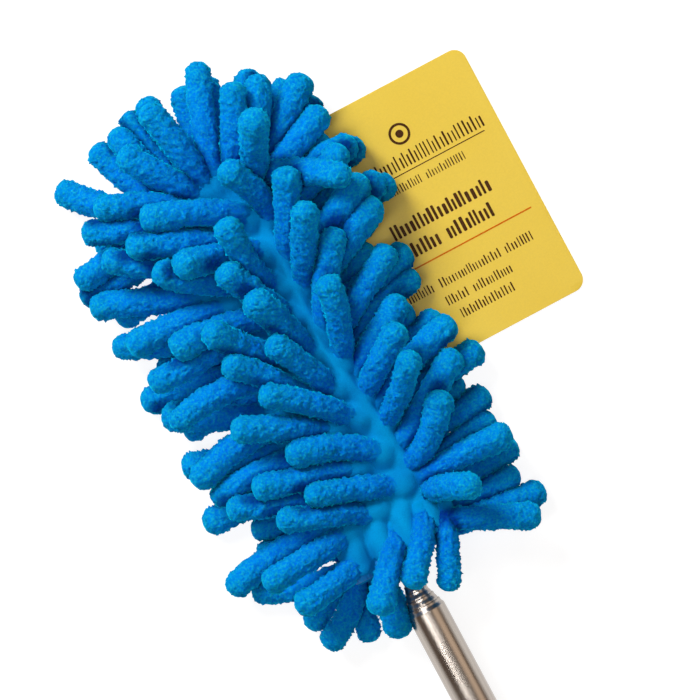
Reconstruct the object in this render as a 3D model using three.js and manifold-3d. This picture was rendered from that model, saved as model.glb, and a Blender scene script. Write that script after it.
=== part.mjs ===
// A telescopic chenille duster lying flat on a table, with its card tag beside the head.
// Millimetres. +Y runs along the pole from the butt of the handle to the tip of the head, +Z is up
// from the table, and the pole's axis is at x = 0, z = 0. The origin is the centre of the butt face.
import * as THREE from 'three';
import { mergeVertices } from 'three/addons/utils/BufferGeometryUtils.js';
import Module from 'manifold-3d';

const wasm = await Module();
wasm.setup();

// ---- driving dimensions ----------------------------------------------------------------------
const SEGMENTS = 24; // flats around every turned piece
const RUNNING_GAP = 0.1; // radial gap between pieces that slide or turn in each other

const SECTION_RADIUS = [7.7, 6.4, 5.3, 4.2, 3.1]; // outside, from the outer tube inwards
const SECTION_WALL = [0.45, 0.4, 0.4, 0.4, 0.4];
const OUTER_MOUTH_Y = 245.5; // where the outer tube's rolled lip ends
const LIP_STEP = 3.1; // each closed section stands this far out of the one around it
const LIP_LENGTH = 2.3;
const TRAVEL = 115; // how far each section pulls out
const BUSH_LENGTH = 10;
const BUSH_FLOOR = 1.3;
const STOP_GAP = 0.2;

const HANDLE_TOP_Y = 118;
const TUBE_BOTTOM_Y = 92; // the outer tube is held in the handle from here up
const HANDLE_RADIUS = 11;
const GRIP_RADIUS = 14; // the handle lies on the table on this
const GRIP_BOTTOM_Y = 25;
const GRIP_TOP_Y = 113;
const GRIP_RIBS = 8;
const GRIP_GROOVE = 0.9;
const TONGUE_WIDTH = 22;
const TONGUE_THICKNESS = 10;
const EYE_RADIUS = 4.5;
const EYE_Y = 10;

const RIM_Y = 260; // lower face of the head socket's rim, which is the closed pole's length
const RIM_RADIUS = 6.4;
const RIM_THICKNESS = 1.7;
const SOCKET_RADIUS = 4.4;
const SOCKET_DEPTH = 30;
const SOCKET_TOP_Y = 300;
const PIN_Y = 278;
const PIN_RADIUS = 1;
const BLADE_HALF_WIDTH = 16.4;
const BLADE_THICKNESS = 5;
const BLADE_END_Y = 422;

const SLEEVE_MOUTH_Y = 264;
const SLEEVE_END_Y = 428;
const SLEEVE_HALF_WIDTH = 19.2; // outside of the fabric
const SLEEVE_HALF_HEIGHT = 6;
const FABRIC = 1.4; // thickness of the sleeve's cloth
const TAPE = 1; // thickness of the tape that a row of noodles is sewn to
const TAPE_GAP = 0.3;
const NOODLE_RADIUS = 4.8;
const NOODLE_PITCH = 17.8; // along a row

const TAG = { left: 41, right: 115, bottom: 324, top: 430, corner: 5, thickness: 0.4, z: -12.9 };
const TAG_HOLE = { x: 48.5, y: 422.5, radius: 1.6 };
const TAG_PIN_RADIUS = 0.4;

// ---- materials ---------------------------------------------------------------------------------
function material(color, roughness, metalness = 0) {
  return new THREE.MeshStandardMaterial({ color, roughness, metalness });
}
const STEEL = material(0xb9b2a8, 0.28, 1);
const BLACK_PLASTIC = material(0x1b1b1d, 0.55);
const BLACK_RUBBER = material(0x232325, 0.8);
const WHITE_PLASTIC = material(0xe9e9e6, 0.4);
const GREY_NYLON = material(0x8f9296, 0.5);
const BLUE_CLOTH = material(0x0a86cf, 0.95);
const BLUE_CHENILLE = material(0x0478c8, 1);
const YELLOW_CARD = material(0xe9cc55, 0.6);
const CLEAR_NYLON = material(0xeef0f0, 0.3);

// ---- geometry helpers --------------------------------------------------------------------------
function signedVolume(position, index) {
  const corner = [new THREE.Vector3(), new THREE.Vector3(), new THREE.Vector3()];
  let sum = 0;
  for (let i = 0; i < index.count; i += 3) {
    corner.forEach((v, k) => v.fromBufferAttribute(position, index.getX(i + k)));
    sum += corner[0].dot(corner[1].cross(corner[2]));
  }
  return sum / 6;
}

// Leaves only positions, welds them, drops flat triangles and turns the faces outwards.
function closed(geometry) {
  const bare = new THREE.BufferGeometry();
  bare.setAttribute('position', geometry.getAttribute('position').clone());
  if (geometry.index) bare.setIndex(geometry.index.clone());
  const welded = mergeVertices(bare, 1e-4);
  const inside = signedVolume(welded.getAttribute('position'), welded.index) < 0;
  const source = welded.index.array;
  const kept = [];
  for (let i = 0; i < source.length; i += 3) {
    const [a, b, c] = [source[i], source[i + 1], source[i + 2]];
    if (a === b || b === c || a === c) continue;
    kept.push(a, inside ? c : b, inside ? b : c);
  }
  welded.setIndex(kept);
  return welded;
}

function toManifold(geometry) {
  const shell = closed(geometry);
  const mesh = new wasm.Mesh({
    numProp: 3,
    vertProperties: new Float32Array(shell.getAttribute('position').array),
    triVerts: new Uint32Array(shell.index.array),
  });
  return new wasm.Manifold(mesh);
}

function fromManifold(solid) {
  const mesh = solid.getMesh();
  const geometry = new THREE.BufferGeometry();
  geometry.setAttribute('position', new THREE.BufferAttribute(mesh.vertProperties, 3));
  geometry.setIndex(new THREE.BufferAttribute(mesh.triVerts, 1));
  return geometry;
}

function join(geometries) {
  return fromManifold(geometries.map(toManifold).reduce((all, next) => all.add(next)));
}

function cut(geometry, tools) {
  const start = toManifold(geometry);
  return fromManifold(tools.map(toManifold).reduce((left, tool) => left.subtract(tool), start));
}

// A turned piece about the pole's axis from [radius, y] pairs, with a flat facing the table.
function turned(profile) {
  const points = profile.map(([radius, y]) => new THREE.Vector2(radius, y));
  return closed(new THREE.LatheGeometry(points, SEGMENTS, Math.PI / SEGMENTS));
}

function box(low, high) {
  const size = low.map((value, k) => high[k] - value);
  const geometry = new THREE.BoxGeometry(...size);
  geometry.translate(...low.map((value, k) => (value + high[k]) / 2));
  return geometry;
}

// A skin over rings that all have the same number of points, with a flat end on the first and last.
function loft(rings) {
  const count = rings[0].length;
  const vertices = rings.flat();
  const index = [];
  for (let r = 0; r + 1 < rings.length; r += 1) {
    for (let k = 0; k < count; k += 1) {
      const a = r * count + k;
      const b = r * count + ((k + 1) % count);
      index.push(a, b, b + count, a, b + count, a + count);
    }
  }
  const last = (rings.length - 1) * count;
  for (let k = 1; k + 1 < count; k += 1) {
    index.push(0, k + 1, k);
    index.push(last, last + k, last + k + 1);
  }
  const geometry = new THREE.BufferGeometry().setFromPoints(vertices);
  geometry.setIndex(index);
  return closed(geometry);
}

// A flat oval around the blade at height y: straight top and bottom with half-round sides.
function ovalRing(halfWidth, halfHeight, y) {
  const sideSteps = 7;
  const straight = Math.max(halfWidth - halfHeight, 0);
  const ring = [];
  for (const side of [1, -1]) {
    for (let k = 0; k <= sideSteps; k += 1) {
      const angle = -Math.PI / 2 + (Math.PI * k) / sideSteps;
      const across = side * (straight + halfHeight * Math.cos(angle));
      ring.push(new THREE.Vector3(across, y, side * halfHeight * Math.sin(angle)));
    }
  }
  return ring;
}

// ---- the telescopic pole -----------------------------------------------------------------------
function insideRadius(section) {
  return SECTION_RADIUS[section] - SECTION_WALL[section];
}

function mouthY(section) {
  return OUTER_MOUTH_Y + LIP_STEP * section;
}

// Sections stop when the bush on their lower end meets the lip of the tube around them.
function bottomY(section) {
  if (section === 0) return TUBE_BOTTOM_Y;
  return mouthY(section - 1) - LIP_LENGTH - STOP_GAP - TRAVEL - BUSH_LENGTH;
}

function lippedTube(section) {
  const outside = SECTION_RADIUS[section];
  const inside = insideRadius(section);
  const lipInside = SECTION_RADIUS[section + 1] + 0.15;
  const lipOutside = lipInside + SECTION_WALL[section];
  const top = mouthY(section);
  const shoulder = top - LIP_LENGTH;
  return turned([
    [inside, bottomY(section)],
    [outside, bottomY(section)],
    [outside, shoulder],
    [(outside * 2 + lipOutside) / 3, shoulder + LIP_LENGTH * 0.35],
    [lipOutside, shoulder + LIP_LENGTH * 0.7],
    [lipOutside, top],
    [lipInside, top],
    [lipInside, shoulder + LIP_LENGTH * 0.7],
    [inside, shoulder + LIP_LENGTH * 0.15],
    [inside, bottomY(section)],
  ]);
}

function topSection() {
  const section = SECTION_RADIUS.length - 1;
  const tube = turned([
    [insideRadius(section), bottomY(section)],
    [SECTION_RADIUS[section], bottomY(section)],
    [SECTION_RADIUS[section], RIM_Y + SOCKET_DEPTH - 0.3],
    [insideRadius(section), RIM_Y + SOCKET_DEPTH - 0.3],
    [insideRadius(section), bottomY(section)],
  ]);
  return cut(tube, [crossBar(PIN_RADIUS + RUNNING_GAP, RIM_RADIUS * 4)]);
}

function crossBar(radius, length) {
  const bar = new THREE.CylinderGeometry(radius, radius, length, 12);
  bar.rotateZ(Math.PI / 2);
  bar.translate(0, PIN_Y, 0);
  return bar;
}

// A cup on a section's lower end: its skirt rubs in the tube around it, and its boss is the stop
// on which the next section's cup stands when the pole is closed.
function frictionBush(section) {
  const base = bottomY(section);
  const floor = base - RUNNING_GAP;
  const isLast = section === SECTION_RADIUS.length - 1;
  const bossTop = isLast ? base + 1 : base + LIP_STEP - BUSH_FLOOR - 2 * RUNNING_GAP;
  const skirtOutside = insideRadius(section - 1) - RUNNING_GAP;
  const skirtInside = SECTION_RADIUS[section] + RUNNING_GAP;
  const boss = insideRadius(section) - RUNNING_GAP;
  return turned([
    [0, floor - BUSH_FLOOR],
    [skirtOutside, floor - BUSH_FLOOR],
    [skirtOutside, base + BUSH_LENGTH],
    [skirtInside, base + BUSH_LENGTH],
    [skirtInside, floor],
    [boss, floor],
    [boss, bossTop],
    [0, bossTop],
  ]);
}

function tubePlug() {
  const radius = insideRadius(0) - RUNNING_GAP;
  const top = bottomY(1) - BUSH_FLOOR - 2 * RUNNING_GAP;
  const waist = radius - 1.5;
  return turned([
    [0, TUBE_BOTTOM_Y],
    [radius, TUBE_BOTTOM_Y],
    [radius, TUBE_BOTTOM_Y + 6],
    [waist, TUBE_BOTTOM_Y + 7.5],
    [waist, top - 7.5],
    [radius, top - 6],
    [radius, top],
    [0, top],
  ]);
}

// ---- the handle --------------------------------------------------------------------------------
function handleBody() {
  const bore = SECTION_RADIUS[0] + RUNNING_GAP;
  const boreFloor = TUBE_BOTTOM_Y - 0.3;
  const body = turned([
    [0, 14],
    [6, 15],
    [HANDLE_RADIUS - 1, 19],
    [HANDLE_RADIUS + 1.6, 23],
    [HANDLE_RADIUS + 1.6, GRIP_BOTTOM_Y - 0.3],
    [HANDLE_RADIUS, GRIP_BOTTOM_Y - 0.3],
    [HANDLE_RADIUS, GRIP_TOP_Y + 0.3],
    [HANDLE_RADIUS + 1.4, GRIP_TOP_Y + 0.3],
    [HANDLE_RADIUS + 1.4, HANDLE_TOP_Y - 2.5],
    [HANDLE_RADIUS - 0.6, HANDLE_TOP_Y],
    [bore, HANDLE_TOP_Y],
    [bore, boreFloor],
    [0, boreFloor],
  ]);
  const outline = new THREE.Shape();
  const half = TONGUE_WIDTH / 2;
  const flat = half - 5;
  outline.moveTo(-flat, 0);
  outline.lineTo(flat, 0);
  outline.absarc(flat, 5, 5, -Math.PI / 2, 0, false);
  outline.lineTo(half - 1.5, 22);
  outline.lineTo(1.5 - half, 22);
  outline.absarc(-flat, 5, 5, Math.PI, Math.PI * 1.5, false);
  const eye = new THREE.Path();
  eye.absarc(0, EYE_Y, EYE_RADIUS, 0, Math.PI * 2, true);
  outline.holes.push(eye);
  const settings = { depth: TONGUE_THICKNESS, bevelEnabled: false, curveSegments: 8 };
  const tongue = new THREE.ExtrudeGeometry(outline, settings);
  tongue.translate(0, 0, -TONGUE_THICKNESS / 2);
  const eyeTool = new THREE.CylinderGeometry(EYE_RADIUS, EYE_RADIUS, TONGUE_THICKNESS * 3, 24);
  eyeTool.rotateX(Math.PI / 2);
  eyeTool.translate(0, EYE_Y, 0);
  return cut(join([body, tongue]), [eyeTool]);
}

function gripSleeve() {
  const inside = HANDLE_RADIUS + 0.15;
  const outside = GRIP_RADIUS;
  const ribbed = GRIP_TOP_Y - GRIP_BOTTOM_Y - 14;
  const pitch = ribbed / GRIP_RIBS;
  const profile = [
    [inside, GRIP_BOTTOM_Y],
    [outside - 1, GRIP_BOTTOM_Y],
    [outside, GRIP_BOTTOM_Y + 1.5],
  ];
  for (let k = 0; k < GRIP_RIBS; k += 1) {
    const y = GRIP_BOTTOM_Y + 7 + pitch * k;
    profile.push([outside, y + pitch * 0.3], [outside - GRIP_GROOVE, y + pitch * 0.5]);
    profile.push([outside, y + pitch * 0.7]);
  }
  profile.push([outside, GRIP_TOP_Y - 1.5], [outside - 1, GRIP_TOP_Y], [inside, GRIP_TOP_Y]);
  profile.push([inside, GRIP_BOTTOM_Y]);
  return turned(profile);
}

// ---- the head's core ---------------------------------------------------------------------------
// One white moulding: a rimmed socket for the pole and a slotted, flexible blade.
function headCore() {
  const bore = SECTION_RADIUS[4] + RUNNING_GAP;
  const socket = turned([
    [bore, RIM_Y],
    [RIM_RADIUS, RIM_Y],
    [RIM_RADIUS, RIM_Y + RIM_THICKNESS],
    [SOCKET_RADIUS, RIM_Y + RIM_THICKNESS],
    [SOCKET_RADIUS, SOCKET_TOP_Y - 1],
    [SOCKET_RADIUS - 1, SOCKET_TOP_Y],
    [0, SOCKET_TOP_Y],
    [0, RIM_Y + SOCKET_DEPTH],
    [bore, RIM_Y + SOCKET_DEPTH],
    [bore, RIM_Y],
  ]);
  const bottom = RIM_Y + SOCKET_DEPTH + 2;
  const corner = 12;
  const neck = SOCKET_RADIUS - 1;
  const outline = new THREE.Shape();
  outline.moveTo(-neck, bottom);
  outline.lineTo(neck, bottom);
  outline.lineTo(BLADE_HALF_WIDTH, bottom + 16);
  const upper = BLADE_END_Y - corner;
  outline.absarc(BLADE_HALF_WIDTH - corner, upper, corner, 0, Math.PI / 2, false);
  outline.absarc(corner - BLADE_HALF_WIDTH, upper, corner, Math.PI / 2, Math.PI, false);
  outline.lineTo(-BLADE_HALF_WIDTH, bottom + 16);
  const slotPitch = 20;
  for (let k = 0; k < 5; k += 1) {
    const y = bottom + 26 + slotPitch * k;
    const slot = new THREE.Path();
    slot.absarc(-8, y, 4, Math.PI / 2, Math.PI * 1.5, false);
    slot.absarc(8, y, 4, -Math.PI / 2, Math.PI / 2, false);
    outline.holes.push(slot);
  }
  const settings = { depth: BLADE_THICKNESS, bevelEnabled: false, curveSegments: 6 };
  const blade = new THREE.ExtrudeGeometry(outline, settings);
  blade.translate(0, 0, -BLADE_THICKNESS / 2);
  return cut(join([socket, blade]), [crossBar(PIN_RADIUS + RUNNING_GAP, RIM_RADIUS * 4)]);
}

// ---- the pull-off cover ------------------------------------------------------------------------
// A flat pocket of cloth, open at the hem. Its skin runs from the closed end down the inside,
// round the hem and up the outside.
function coverSleeve() {
  const straightTop = SLEEVE_END_Y - 8;
  const inner = [];
  const outer = [ovalRing(SLEEVE_HALF_WIDTH, SLEEVE_HALF_HEIGHT, SLEEVE_MOUTH_Y)];
  for (const [rise, share] of [[0, 1], [4, 0.93], [8, 0.78]]) {
    const width = SLEEVE_HALF_WIDTH * share;
    const height = SLEEVE_HALF_HEIGHT * share;
    const y = straightTop + rise;
    outer.push(ovalRing(width, height, y));
    inner.unshift(ovalRing(width - FABRIC, height - FABRIC, y - FABRIC * share));
  }
  const hem = ovalRing(SLEEVE_HALF_WIDTH - FABRIC, SLEEVE_HALF_HEIGHT - FABRIC, SLEEVE_MOUTH_Y);
  return loft([...inner, hem, ...outer]);
}

function ovalBand(lowY, highY, gap, thickness) {
  const inside = [SLEEVE_HALF_WIDTH + gap, SLEEVE_HALF_HEIGHT + gap];
  const outside = inside.map((value) => value + thickness);
  const shell = loft([ovalRing(...outside, lowY), ovalRing(...outside, highY)]);
  return cut(shell, [loft([ovalRing(...inside, lowY - 1), ovalRing(...inside, highY + 1)])]);
}

function hemElastic() {
  return ovalBand(SLEEVE_MOUTH_Y + 0.5, SLEEVE_MOUTH_Y + 5.5, TAPE_GAP, 0.8);
}

// A chenille noodle along a curve through the given points: thin where it is sewn on, full
// further out, and rounded at its end. flatten squeezes it in height.
function noodle(points, flatten = 1) {
  const curve = new THREE.CatmullRomCurve3(points.map((p) => new THREE.Vector3(...p)));
  const stations = [
    [0, 0.25],
    [0.2, 0.95],
    [0.55, 1],
    [0.9, 0.86],
    [1, 0.42],
  ];
  const sides = 6;
  const up = new THREE.Vector3(0, 0, 1);
  const rings = stations.map(([along, share]) => {
    const centre = curve.getPointAt(along);
    const forward = curve.getTangentAt(along);
    const steep = Math.abs(forward.z) > 0.9;
    const guide = steep ? new THREE.Vector3(0, 1, 0) : up;
    const across = new THREE.Vector3().crossVectors(forward, guide).normalize();
    const lift = new THREE.Vector3().crossVectors(across, forward).normalize();
    const ring = [];
    for (let k = 0; k < sides; k += 1) {
      const angle = (Math.PI * 2 * (k + 0.5)) / sides;
      const offset = across.clone().multiplyScalar(Math.cos(angle) * NOODLE_RADIUS * share);
      offset.addScaledVector(lift, Math.sin(angle) * NOODLE_RADIUS * share * flatten);
      ring.push(centre.clone().add(offset));
    }
    return ring;
  });
  return loft(rings);
}

// Rows run along the head. Each row's noodles follow one curve in the plane across the pole,
// [x, z] from the tape outwards, and lean towards the head's tip by `lean` mm over their length.
const ROWS = {
  noodles_top_crest: {
    tape: { low: [2.4, 6.3], high: [7.6, 7.3] },
    path: [[5, 6.9], [6.5, 15], [-1, 24.5], [-13, 29.5], [-27, 28]],
    lean: 10,
    start: 289,
    count: 8,
  },
  noodles_top_inner: {
    tape: { low: [-6.1, 6.3], high: [-0.9, 7.3] },
    path: [[-3.5, 6.9], [-6, 13.5], [-17, 19.8], [-30, 19.6], [-43, 15.5]],
    lean: 12,
    start: 298,
    count: 7,
  },
  noodles_top_outer: {
    tape: { low: [-14.6, 6.3], high: [-9.4, 7.3] },
    path: [[-12, 7], [-16, 12], [-30, 9.8], [-44, 5.5], [-55, 2.5]],
    lean: 14,
    start: 289,
    count: 8,
  },
  noodles_left_edge: {
    tape: { low: [-20.5, -2.4], high: [-19.5, 2.4] },
    path: [[-20, 0], [-33, -1.5], [-46, -5.5], [-57, -9]],
    lean: 14,
    start: 298,
    count: 7,
  },
  noodles_right_upper: {
    tape: { low: [19.5, 1.4], high: [20.5, 5.6] },
    path: [[20, 3.5], [29, 9.5], [40, 13], [51, 12.5], [60, 9]],
    lean: 30,
    start: 289,
    count: 7,
  },
  noodles_right_lower: {
    tape: { low: [19.5, -5], high: [20.5, -0.6] },
    path: [[20, -2.2], [32, -1], [46, -5], [58, -6.9]],
    lean: 18,
    start: 298,
    count: 7,
  },
  noodles_under_left: {
    tape: { low: [-6, -7.3], high: [-1, -6.3] },
    path: [[-3.5, -6.9], [-8, -10.2], [-20, -10.2], [-30.5, -10.2]],
    lean: 8,
    start: 289,
    count: 8,
    flatten: 0.76,
  },
  noodles_under_right: {
    tape: { low: [1, -7.3], high: [6, -6.3] },
    path: [[3.5, -6.9], [8, -10.2], [15, -10.2], [23, -10.2]],
    lean: 6,
    start: 298,
    count: 7,
    flatten: 0.76,
  },
};

function noodleRow(row) {
  const last = row.path.length - 1;
  const shapes = [];
  for (let k = 0; k < row.count; k += 1) {
    const y = row.start + NOODLE_PITCH * k;
    const points = row.path.map(([x, z], i) => [x, y + (row.lean * i) / last, z]);
    shapes.push(noodle(points, row.flatten));
  }
  const low = [row.tape.low[0], row.start - 4, row.tape.low[1]];
  const topY = row.start + NOODLE_PITCH * (row.count - 1) + 4;
  const high = [row.tape.high[0], topY, row.tape.high[1]];
  return join([box(low, high), ...shapes]);
}

// Noodles that fan out past the closed end of the sleeve, starting straight out of the tape.
function tipTuft() {
  const y = SLEEVE_END_Y + TAPE_GAP;
  const fans = [
    {
      angles: [-60, -30, 0, 30, 60],
      rootSpread: 0.14,
      profile: [[0, -0.6], [3, -0.9], [10, -2], [23, -6], [37, -8.9]],
    },
    {
      angles: [-44, 0, 44],
      rootSpread: 0.16,
      profile: [[0, 1.6], [3, 5], [8, 9.5], [17, 12], [31, 9]],
    },
  ];
  const shapes = [box([-11, y, -3.2], [11, y + TAPE, 3.2])];
  for (const { angles, rootSpread, profile } of fans) {
    for (const degrees of angles) {
      const points = profile.map(([out, z]) => {
        const angle = THREE.MathUtils.degToRad(degrees) * Math.min(out / 10, 1);
        const x = degrees * rootSpread + out * Math.sin(angle);
        return [x, y + TAPE * 0.6 + out * Math.cos(angle), z];
      });
      shapes.push(noodle(points));
    }
  }
  return join(shapes);
}

// Noodles round the sleeve's mouth that lie back along the pole.
function baseTuft() {
  const bandLow = SLEEVE_MOUTH_Y + 10;
  const bandHigh = bandLow + 4;
  const y = (bandLow + bandHigh) / 2;
  const shapes = [ovalBand(bandLow, bandHigh, TAPE_GAP, TAPE)];
  for (const side of [-1, 1]) {
    const edge = [[20, y, 0.4], [30, y - 7, 0], [39, y - 17, -4], [45, y - 29, -8.8]];
    const upper = [[13, y, 6.9], [19, y - 6, 13], [25, y - 17, 14.5], [29, y - 30, 10]];
    const under = [[9, y, -6.9], [11, y - 6, -10.6], [12, y - 14, -10.6], [14, y - 25, -10.6]];
    for (const path of [edge, upper]) {
      shapes.push(noodle(path.map(([x, py, z]) => [x * side, py, z])));
    }
    shapes.push(noodle(under.map(([x, py, z]) => [x * side, py, z]), 0.67));
  }
  shapes.push(noodle([[0, y, 6.9], [0, y - 5, 13.5], [-1, y - 16, 16.5], [-2, y - 29, 13]]));
  return join(shapes);
}

// ---- the tag -----------------------------------------------------------------------------------
function tagCard() {
  const { left, right, bottom, top, corner } = TAG;
  const outline = new THREE.Shape();
  outline.moveTo(left + corner, bottom);
  outline.absarc(right - corner, bottom + corner, corner, -Math.PI / 2, 0, false);
  outline.absarc(right - corner, top - corner, corner, 0, Math.PI / 2, false);
  outline.absarc(left + corner, top - corner, corner, Math.PI / 2, Math.PI, false);
  outline.absarc(left + corner, bottom + corner, corner, Math.PI, Math.PI * 1.5, false);
  const hole = new THREE.Path();
  hole.absarc(TAG_HOLE.x, TAG_HOLE.y, TAG_HOLE.radius, 0, Math.PI * 2, true);
  outline.holes.push(hole);
  const settings = { depth: TAG.thickness, bevelEnabled: false, curveSegments: 8 };
  const card = new THREE.ExtrudeGeometry(outline, settings);
  card.translate(0, 0, TAG.z);
  return closed(card);
}

// A nylon pin: a bar against the sleeve, a thread that passes under the card's corner and up
// through its hole, and a bar on top of the card.
function tagPin() {
  const { x, y } = TAG_HOLE;
  const under = TAG.z - RUNNING_GAP - TAG_PIN_RADIUS - 0.05;
  const cardTop = TAG.z + TAG.thickness;
  const route = [
    [20.6, 414, -2.5],
    [25, 415, -8],
    [30, 417, -12],
    [35, 418.6, under],
    [42, 420.6, under],
    [47, 422, under],
    [x, y, under + 0.8],
    [x, y, cardTop + 0.9],
  ];
  const curve = new THREE.CatmullRomCurve3(
    route.map((p) => new THREE.Vector3(...p)), false, 'centripetal');
  const section = new THREE.Shape();
  section.absarc(0, 0, TAG_PIN_RADIUS, 0, Math.PI * 2, false);
  const settings = { steps: 18, bevelEnabled: false, extrudePath: curve, curveSegments: 4 };
  const thread = new THREE.ExtrudeGeometry(section, settings);
  const sleeveBar = box([20, 410, -3], [21.2, 418, -2]);
  const cardBar = box([x - 0.6, y - 4, cardTop + RUNNING_GAP], [x + 0.6, y + 4, cardTop + 1.1]);
  return join([thread, sleeveBar, cardBar]);
}

// ---- the assembly ------------------------------------------------------------------------------
const duster = new THREE.Group();
duster.name = 'telescopic_duster';

function add(group, name, geometry, finish) {
  const mesh = new THREE.Mesh(geometry, finish);
  mesh.name = name;
  group.add(mesh);
}

function subassembly(name) {
  const group = new THREE.Group();
  group.name = name;
  duster.add(group);
  return group;
}

const handle = subassembly('handle');
add(handle, 'handle_body', handleBody(), BLACK_PLASTIC);
add(handle, 'grip_sleeve', gripSleeve(), BLACK_RUBBER);
add(handle, 'outer_tube', lippedTube(0), STEEL);
add(handle, 'tube_plug', tubePlug(), BLACK_PLASTIC);

const pole = subassembly('pole');
for (let section = 1; section < SECTION_RADIUS.length; section += 1) {
  const isLast = section === SECTION_RADIUS.length - 1;
  add(pole, `section_${section + 1}`, isLast ? topSection() : lippedTube(section), STEEL);
  add(pole, `friction_bush_${section + 1}`, frictionBush(section), GREY_NYLON);
}

const core = subassembly('core');
add(core, 'head_core', headCore(), WHITE_PLASTIC);
add(core, 'socket_pin', crossBar(PIN_RADIUS, SOCKET_RADIUS * 2), STEEL);

const cover = subassembly('cover');
add(cover, 'cover_sleeve', coverSleeve(), BLUE_CLOTH);
add(cover, 'hem_elastic', hemElastic(), BLUE_CLOTH);
for (const [name, row] of Object.entries(ROWS)) add(cover, name, noodleRow(row), BLUE_CHENILLE);
add(cover, 'noodles_tip', tipTuft(), BLUE_CHENILLE);
add(cover, 'noodles_base', baseTuft(), BLUE_CHENILLE);

const tag = subassembly('tag');
add(tag, 'tag_card', tagCard(), YELLOW_CARD);
add(tag, 'tag_pin', tagPin(), CLEAR_NYLON);

export default duster;
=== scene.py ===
"""A telescopic chenille duster lying on a pale table, seen from above.

Metres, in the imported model's frame: +Y runs along the pole from the butt to the head's tip, +Z is up
and the pole's axis is at x = z = 0.
"""
import math
from contextlib import contextmanager

import bmesh
import bpy
import numpy as np
from mathutils import Matrix, Vector


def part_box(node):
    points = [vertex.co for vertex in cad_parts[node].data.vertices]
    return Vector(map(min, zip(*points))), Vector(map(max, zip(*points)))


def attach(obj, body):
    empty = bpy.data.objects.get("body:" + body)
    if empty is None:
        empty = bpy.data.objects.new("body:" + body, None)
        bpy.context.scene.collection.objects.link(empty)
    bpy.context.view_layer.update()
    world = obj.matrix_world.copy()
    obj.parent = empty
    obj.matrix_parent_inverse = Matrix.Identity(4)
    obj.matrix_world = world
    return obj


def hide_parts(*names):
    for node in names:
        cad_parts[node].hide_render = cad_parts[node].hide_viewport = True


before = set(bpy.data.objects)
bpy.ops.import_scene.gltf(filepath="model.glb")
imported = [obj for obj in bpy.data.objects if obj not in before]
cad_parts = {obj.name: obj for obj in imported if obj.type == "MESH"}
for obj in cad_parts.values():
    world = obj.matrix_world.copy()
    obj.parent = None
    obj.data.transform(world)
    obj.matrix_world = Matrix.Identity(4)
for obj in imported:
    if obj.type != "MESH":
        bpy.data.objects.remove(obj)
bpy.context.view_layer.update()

MM = 0.001
SEED = 7

# ---- sizes read from the frame -----------------------------------------------------------------
SLEEVE_LOW, SLEEVE_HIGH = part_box("cover_sleeve")
SLEEVE_HALF = SLEEVE_HIGH.x
SLEEVE_TOP = SLEEVE_HIGH.z
SLEEVE_FLAT = SLEEVE_HALF - SLEEVE_TOP  # half the width of the sleeve's flat top
MOUTH_Y = SLEEVE_LOW.y
END_Y = SLEEVE_HIGH.y
TAG_LOW, TAG_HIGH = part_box("tag_card")
GRIP_LOW, GRIP_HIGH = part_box("grip_sleeve")
HANDLE_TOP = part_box("handle_body")[1].y
CORE_LOW, CORE_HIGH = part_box("head_core")
TABLE_Z = -14 * MM
SECTION_RADIUS = (7.7, 6.4, 5.3, 4.2, 3.1)  # mm, of the pole's five tubes

# ---- the camera --------------------------------------------------------------------------------
HEAD_CENTRE = Vector((21.3 * MM, 345.3 * MM, 0))
VIEW_WIDTH = 0.2695  # across the picture at the pole's height
VIEW_DISTANCE = 1.0
POLE_TURN = 28.1  # degrees that the pole leans to the left of upright in the picture


def put_in_scene(name, data):
    """A new object of that data."""
    thing = bpy.data.objects.new(name, data)
    bpy.context.scene.collection.objects.link(thing)
    return thing


def add_camera():
    camera = put_in_scene("camera", bpy.data.cameras.new("camera"))
    camera.data.sensor_width = 36
    camera.data.lens = camera.data.sensor_width * VIEW_DISTANCE / VIEW_WIDTH
    camera.location = HEAD_CENTRE + Vector((0, 0, VIEW_DISTANCE))
    camera.rotation_euler = (0, 0, -math.radians(POLE_TURN))
    bpy.context.scene.camera = camera


# ---- small helpers -----------------------------------------------------------------------------
def link(name, mesh, material):
    """A piece with that mesh and material."""
    mesh.materials.append(material)
    return put_in_scene(name, mesh)


def shade_smooth(mesh):
    mesh.polygons.foreach_set("use_smooth", [True] * len(mesh.polygons))


def mesh_of(name, vertices, faces, smooth=True):
    mesh = bpy.data.meshes.new(name)
    mesh.from_pydata([tuple(v) for v in vertices], [], [tuple(f) for f in faces])
    mesh.validate()
    mesh.update()
    if smooth:
        shade_smooth(mesh)
    return mesh


def tube_faces(rings, around, closed=False):
    """Faces between rings of points; closed joins the last ring to the first."""
    faces = []
    for i in range(rings if closed else rings - 1):
        low, high = i * around, (i + 1) % rings * around
        for k in range(around):
            nxt = (k + 1) % around
            faces.append((low + k, low + nxt, high + nxt, high + k))
    return faces


@contextmanager
def editing(mesh):
    """The mesh as a bmesh, which is written back when the block ends."""
    work = bmesh.new()
    work.from_mesh(mesh)
    yield work
    work.to_mesh(mesh)
    work.free()


def face_out(mesh):
    """Turns the faces of a closed mesh outwards."""
    with editing(mesh) as work:
        bmesh.ops.recalc_face_normals(work, faces=work.faces)


def skin_piece(name, vertices, faces, material):
    """A piece of these faces, all turned outwards."""
    mesh = mesh_of(name, vertices, faces)
    face_out(mesh)
    return link(name, mesh, material)


def finished_mesh(thing):
    """The mesh that an object's curve or modifiers make."""
    bpy.context.view_layer.update()
    graph = bpy.context.evaluated_depsgraph_get()
    return bpy.data.meshes.new_from_object(thing.evaluated_get(graph))


def bake_modifiers(piece):
    """Replaces the piece's mesh with the one its modifiers make."""
    mesh = finished_mesh(piece)
    piece.modifiers.clear()
    piece.data = mesh


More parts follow.
